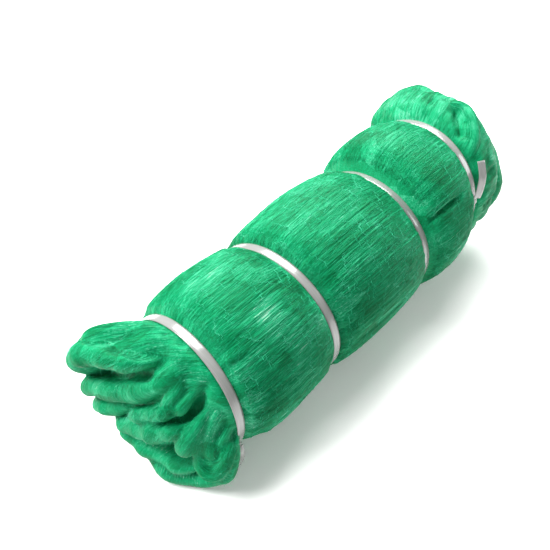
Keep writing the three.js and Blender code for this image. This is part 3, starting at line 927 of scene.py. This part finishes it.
def twine_mesh(name, lines, normals, half_width, height, material):
    """Low rounded ridges along lines of places in millimetres, one line for each twine."""
    count, steps, _ = lines.shape
    side = unit(np.cross(unit(np.gradient(lines, axis=1), 1e-9), normals), 1e-9)
    ending = np.sin(np.pi * np.clip((np.arange(steps) + 0.15) / (steps - 0.7), 0, 1)) ** 0.4
    half_width = (np.asarray(half_width)[:, None] * ending)[..., None]
    height = (np.asarray(height)[:, None] * ending)[..., None]
    points = [lines - side * half_width, lines + normals * height, lines + side * half_width]
    points = np.stack(points, 2)
    first = (np.arange(count) * steps * 3)[:, None, None]
    step = (np.arange(steps - 1) * 3)[None, :, None]
    strip = np.array([0, 1])[None, None, :]
    corner = first + step + strip
    faces = np.stack([corner, corner + 1, corner + 4, corner + 3], -1).reshape(-1, 4)
    return net_piece(name, metres(points.reshape(-1, 3)), faces, material)


def bundle_normal(x, angle):
    """Outward from the bulges, worked out from places close by."""
    step_x, step_angle = 1.0, 0.01
    along = bundle_point(x + step_x, angle) - bundle_point(x - step_x, angle)
    around = bundle_point(x, angle + step_angle) - bundle_point(x, angle - step_angle)
    return -unit(np.cross(along, around), 1e-9)


def bulge_lines(left, right, count, draw):
    """Slightly wavy lines along the bundle between two tapes, as x and angle at each step."""
    low, high = left["x"] + TWINE_TO_TAPE, right["x"] - TWINE_TO_TAPE
    length = draw.uniform(*TWINE_LENGTH, count)
    start = draw.uniform(low - 0.5 * length, high - 0.5 * length)
    end = np.clip(start + length, low + SHORTEST_TWINE, high)
    start = np.clip(start, low, high - SHORTEST_TWINE)
    angle = draw.uniform(*TWINE_ANGLES, count)
    share = np.linspace(0, 1, TWINE_STEPS)[None, :]
    x = between(start[:, None], end[:, None], share)
    wander = draw.normal(0, 1, (count, 4))
    sway = wander[:, :1] * np.sin(np.pi * share) + wander[:, 1:2] * 0.6 * np.sin(2 * np.pi * share)
    sway = sway + wander[:, 2:3] * 0.5 * np.sin(3 * np.pi * share) + wander[:, 3:] * (share - 0.5)
    return x, angle[:, None] + sway * TWINE_SWAY / BUNDLE_RADIUS


draw = np.random.default_rng(21)
drawn_green = twine_material(
    "drawn_green_twine", TWINE_SHADES, ALONG_BUNDLE, sheen=0.06, roughness=0.4, bump=0.2
)
bulge_lengths = np.array([right["x"] - left["x"] for left, right in zip(WAISTS, WAISTS[1:])])
for index, (left, right) in enumerate(zip(WAISTS, WAISTS[1:])):
    count = int(TWINES * bulge_lengths[index] / bulge_lengths.sum())
    x, angle = bulge_lines(left, right, count, draw)
    lift = draw.uniform(*TWINE_LIFT, count)[:, None] * eased((from_tapes(x) + 1) / 6)
    lines = bundle_point(x, angle, lift)
    width = draw.uniform(*TWINE_HALF_WIDTH, count)
    name = f"bulge_twine_{index + 1}"
    sides = bundle_normal(x, angle)
    twine_mesh(name, lines, sides, width, width * TWINE_HEIGHT, drawn_green)


# The outer twine of the two ends. The same filaments follow the layers out of the tape,
# over each lip and back into the slit below.

END_TWINES = {"layered_end_twine": 4000, "rounded_end_twine": 2600}
END_STEP = 2.8
END_STEPS = 12
END_HALF_WIDTH = (0.14, 0.34)
END_LIFT = (-0.1, 0.5)
END_SCATTER, END_TURN = 0.4, 0.05


def traced_lines(co, normals, way, count, seed, lift):
    """Lines that follow the way of the twine over a skin, and the outward side along each."""
    draw = np.random.default_rng(seed)
    co = co * 1000 - MARK
    tree = tree_of(co)
    here = draw.integers(0, len(co), count)
    place = co[here] + draw.normal(0, END_SCATTER, (count, 3))
    turn = draw.normal(0, END_TURN, (count, 1))
    lines, sides = [], []
    for _ in range(END_STEPS):
        normal = normals[here]
        place = place - normal * np.sum((place - co[here]) * normal, axis=1, keepdims=True)
        lines.append(place + normal * lift[:, None])
        sides.append(normal)
        heading = way[here] + np.cross(normal, way[here]) * turn
        place = place + heading * END_STEP
        here = np.array([tree.find(spot)[1] for spot in place])
    lines, sides = np.stack(lines, 1), np.stack(sides, 1)
    for _ in range(2):
        lines[:, 1:-1] = 0.25 * lines[:, :-2] + 0.5 * lines[:, 1:-1] + 0.25 * lines[:, 2:]
    return lines, sides


turned_green = twine_material(
    "turned_green_twine", TWINE_SHADES, ALL_WAYS, sheen=0.06, roughness=0.4, bump=0.2
)
for (name, count), skin, seed in zip(END_TWINES.items(), (near_skin, far_skin), (31, 32)):
    draw = np.random.default_rng(seed)
    lines, sides = traced_lines(*skin, count, seed, draw.uniform(*END_LIFT, count))
    width = draw.uniform(*END_HALF_WIDTH, count)
    twine_mesh(name, lines, sides, width, width * TWINE_HEIGHT, turned_green)


# The rows of knots. Drawn out lengthwise, the meshes of the net close up, and the small hard
# knots of the twine stand side by side in broken, wavy rows across the bundle.

KNOT_SHADES = [(0.0, (0.008, 0.29, 0.125)), (0.5, (0.03, 0.40, 0.20)), (1.0, (0.09, 0.50, 0.30))]
KNOT_ROW_SPACING = 8.0
KNOT_STEPS = 19
KNOT_ACROSS = (1.0, 3.6)
KNOT_AHEAD = 1.9
KNOT_ROW_SHARE = 0.7
KNOT_ROW_WANDER = 3.5
KNOT_ROW_GAP = (0, 12)
KNOT_HALF_WIDTH = (0.16, 0.3)
KNOT_LIFT = 0.6
KNOTS_TO_TAPE = 8
knot_green = twine_material(
    "knotted_green_twine", KNOT_SHADES, ALL_WAYS, sheen=0.2, roughness=0.45, bump=0.2
)


def stepped_rows(seed):
    """Stepped lines of knots across the bulges, as x and angle at each step."""
    draw = np.random.default_rng(seed)
    steps = np.arange(KNOT_STEPS)
    rows = []
    for left, right in zip(WAISTS, WAISTS[1:]):
        for x0 in np.arange(left["x"] + 12, right["x"] - 9, KNOT_ROW_SPACING):
            angle = draw.uniform(-0.4, 0.1)
            while angle < math.pi + 0.8:
                across = draw.uniform(*KNOT_ACROSS, KNOT_STEPS) * (steps % 2 == 0)
                ahead = draw.normal(0, KNOT_AHEAD, KNOT_STEPS) * (steps % 2 == 1)
                x = x0 + draw.normal(0, KNOT_ROW_WANDER)
                x = x + np.cumsum(ahead + draw.normal(0, 0.15, KNOT_STEPS))
                turn = angle + np.cumsum(across) / BUNDLE_RADIUS
                if draw.uniform() < KNOT_ROW_SHARE:
                    rows.append((x, turn))
                angle = turn[-1] + draw.uniform(*KNOT_ROW_GAP) / BUNDLE_RADIUS
    return np.array([row[0] for row in rows]), np.array([row[1] for row in rows])


row_x, row_angle = stepped_rows(seed=41)
to_tape = np.min([np.abs(row_x - waist["x"]).min(axis=1) for waist in WAISTS], axis=0)
row_x, row_angle = row_x[to_tape > KNOTS_TO_TAPE], row_angle[to_tape > KNOTS_TO_TAPE]
draw = np.random.default_rng(42)
lines = bundle_point(row_x, row_angle, KNOT_LIFT + 0.2 * draw.uniform(0, 1, row_x.shape))
width = draw.uniform(*KNOT_HALF_WIDTH, len(row_x))
knots = twine_mesh("knot_rows", lines, bundle_normal(row_x, row_angle), width, width, knot_green)


# Stray fibres. Fine broken filaments of the twine stand off the net all over and make its
# outline soft. More of them fringe the undersides of three lips.

STRAYS = {"bulges": 1800, "layered_end": 900, "rounded_end": 600}
STRAY_STEPS = 4
STRAY_LENGTH = (3, 9)
STRAY_RISE = (0.1, 0.45)
STRAY_HALF_WIDTH = (0.05, 0.1)
STRAYS_TO_TAPE = 12
STRAY_SPREAD = 0.35
STRAYS_ABOVE_FLOOR = 0.5
FRINGED = ("top", "curl", "wide")
FRINGE = 260
UNDER_NOSE = 20


def stray_lines(place, normal, way, seed):
    """Short curved hairs that leave the skin along the twine and lift off it."""
    draw = np.random.default_rng(seed)
    count = len(place)
    length = draw.uniform(*STRAY_LENGTH, (count, 1, 1))
    rise = draw.uniform(*STRAY_RISE, (count, 1, 1))
    aside = np.cross(normal, way) * draw.normal(0, STRAY_SPREAD, (count, 1))
    share = np.linspace(0, 1, STRAY_STEPS)[None, :, None]
    heading = (way * draw.choice([-1, 1], (count, 1)) + aside)[:, None, :]
    lifted = normal[:, None, :] * rise * share * (1.6 - share)
    lines = place[:, None, :] + length * (heading * share + lifted)
    lines[..., 2] = np.maximum(lines[..., 2], STRAYS_ABOVE_FLOOR)
    return lines, np.repeat(normal[:, None, :], STRAY_STEPS, 1)


draw = np.random.default_rng(51)
count = STRAYS["bulges"]
x = draw.uniform(WAISTS[0]["x"] + STRAYS_TO_TAPE, WAISTS[-1]["x"] - STRAYS_TO_TAPE, count)
angle = draw.uniform(-0.5, math.pi + 0.6, count)
ahead = unit(bundle_point(x + 1, angle) - bundle_point(x - 1, angle))
stray_parts = [stray_lines(bundle_point(x, angle), bundle_normal(x, angle), ahead, seed=52)]
for key, (co, normals, way), seed in (("layered_end", near_skin, 53), ("rounded_end", far_skin, 54)):
    chosen = np.random.default_rng(seed).integers(0, len(co), STRAYS[key])
    stray_parts.append(stray_lines(co[chosen] * 1000 - MARK, normals[chosen], way[chosen], seed))
draw = np.random.default_rng(56)
lip_rings = dict(zip(NEAR_LIPS, near_forms[1:]))
for key in FRINGED:
    rings, _ = lip_rings[key]
    chosen = draw.integers(4, len(rings) - 4, FRINGE)
    under = rings[chosen, UNDER_NOSE]
    spot = under + draw.normal(0, 0.6, (FRINGE, 3))
    out = unit(under - rings[chosen].mean(axis=1))
    down = unit(rings[chosen, UNDER_NOSE + 2] - under)
    stray_parts.append(stray_lines(spot, out, down, seed=57))
lines = np.concatenate([lines for lines, _ in stray_parts])
sides = np.concatenate([sides for _, sides in stray_parts])
width = np.random.default_rng(55).uniform(*STRAY_HALF_WIDTH, len(lines))
strays = twine_mesh("stray_fibres", lines, sides, width, width, knot_green)


# The tapes. Four flat strips of glossy white plastic, 10 mm wide, are pulled tight round
# the net. The first and last are knotted and have a short free end; the others just lap.

TAPE_THICKNESS = 0.8
TAPE_PLAY = 0.3
TAPE_STEPS = 180
# Across the strip and up from the net, in millimetres and in thicknesses: rounded edges,
# two low ribs, and a flat underside.
TAPE_TOP = [(-5.0, 0.25), (-4.6, 0.8), (-2.5, 1.0), (0.0, 0.92), (2.5, 1.0), (4.6, 0.8), (5.0, 0.25)]
TAPE_PROFILE = [*TAPE_TOP, (4.6, 0.0), (0.0, 0.0), (-4.6, 0.0)]
LAP_ANGLES = (-34, -14)
LAP_STEPS = 12
LAP_HEIGHT = 0.9
# For each tape that shows one, its free end: where its knot sits round the bundle, which
# way its face looks, and the places that it passes.
FREE_ENDS = {
    1: dict(
        angle=205,
        face=(-0.1, -1, 0.1),
        way=[(-166, -67, 45), (-168, -71, 37), (-170, -71, 28), (-171, -69, 20)],
    ),
    4: dict(
        angle=166,
        face=(-0.3, -0.8, 0.5),
        way=[(209, -78, 113), (210, -79, 123), (214, -77, 139), (219, -69, 154)],
    ),
}
FREE_END_STEPS = 24
FREE_END_CUP = 0.5
KNOT_ALONG, KNOT_WIDE, KNOT_HIGH = 5.6, 3.6, 1.7
KNOT_MIDDLE = 1.8
KNOT_ROUNDS, KNOT_SIDES = 14, 28
TAPE_GREYS = (0.19, 0.195, 0.185, 1), (0.29, 0.29, 0.28, 1)
RIB_SCALE = (1400, 30, 30)
RIB_HEIGHT = 0.0002


def tape_plastic():
    """Pearly white polypropylene: glossy, with fine ribs drawn lengthwise."""
    material, nodes, links, shader = blank_material("white_tape")
    place = nodes.new("ShaderNodeTexCoord").outputs["Object"]
    ribs = soft_noise(nodes, links, place, RIB_SCALE, 2.0)
    tint = nodes.new("ShaderNodeValToRGB")
    for element, grey in zip(tint.color_ramp.elements, TAPE_GREYS):
        element.color = grey
    bump = nodes.new("ShaderNodeBump")
    bump.inputs["Strength"].default_value = 0.3
    bump.inputs["Distance"].default_value = RIB_HEIGHT
    links.new(ribs, tint.inputs["Fac"])
    links.new(ribs, bump.inputs["Height"])
    links.new(tint.outputs["Color"], shader.inputs["Base Color"])
    links.new(bump.outputs["Normal"], shader.inputs["Normal"])
    shader.inputs["Roughness"].default_value = 0.2
    shader.inputs["Specular IOR Level"].default_value = 0.8
    shader.inputs["Coat Weight"].default_value = 0.6
    return material


def strip_round(waist, angles, above):
    """Rings of points across a tape at each angle, that far above its place on the net."""
    rows = []
    for along, high in TAPE_PROFILE:
        lift = TAPE_PLAY + (above + high) * TAPE_THICKNESS
        rows.append(tape_ring(waist, angles, lift, np.full(len(angles), along)))
    return np.stack(rows, 1)


def loose_strip(way, face):
    """A short free end of tape through the places of its way, a little cupped, cut square."""
    way = curve_through(way, FREE_END_STEPS)
    along = unit(np.gradient(way, axis=0))
    across = unit(np.cross(along, np.asarray(face, float)))
    out = np.cross(across, along)
    rows = []
    for wide, high in TAPE_PROFILE:
        cup = FREE_END_CUP * (wide / 5) ** 2
        rows.append(way + across * wide + out * ((high - 0.5) * TAPE_THICKNESS + cup))
    return np.stack(rows, 1)


def tape_knot(waist, angle):
    """The small hard knot of a tape: a lump with the tape's pleats drawn through it."""
    turns = np.arange(KNOT_SIDES) * 2 * math.pi / KNOT_SIDES
    up, turn = np.meshgrid(np.linspace(-1.45, 1.45, KNOT_ROUNDS), turns, indexing="ij")
    pleat = 1 + 0.12 * np.sin(5 * turn + 3 * up)
    wide = np.cos(up) * np.cos(turn) * pleat
    along = np.sin(up)
    high = np.cos(up) * np.sin(turn) * pleat
    middle = tape_ring(waist, angle, TAPE_PLAY + KNOT_MIDDLE, 0.0)
    out = unit(tape_ring(waist, angle, 4.0, 0.0) - tape_ring(waist, angle, 0.0, 0.0))
    round_way = unit(np.cross(out, (1, 0, 0)))
    across = np.cross(round_way, out)
    knot = middle + wide[..., None] * across * KNOT_WIDE
    knot = knot + along[..., None] * round_way * KNOT_ALONG
    return knot + high[..., None] * out * KNOT_HIGH


white_tape = tape_plastic()
for number, waist in enumerate(WAISTS, 1):
    turns = np.arange(TAPE_STEPS) * 2 * math.pi / TAPE_STEPS
    round_points = strip_round(waist, turns, 0).reshape(-1, 3)
    round_faces = ring_faces(TAPE_STEPS + 1, len(TAPE_PROFILE)) % len(round_points)
    if number in FREE_ENDS:
        end = FREE_ENDS[number]
        extras = [loose_strip(end["way"], end["face"]), tape_knot(waist, math.radians(end["angle"]))]
    else:
        extras = [strip_round(waist, np.radians(np.linspace(*LAP_ANGLES, LAP_STEPS)), LAP_HEIGHT)]
    points, faces = joined([(round_points, round_faces), *map(closed_form, extras)])
    tape = object_from(f"tape_{number}", metres(points).tolist(), faces)
    tape.data.polygons.foreach_set("use_smooth", np.full(len(faces), True))
    tape.data.materials.append(white_tape)
    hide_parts(f"tie_{number}")
    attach(tape, "root")
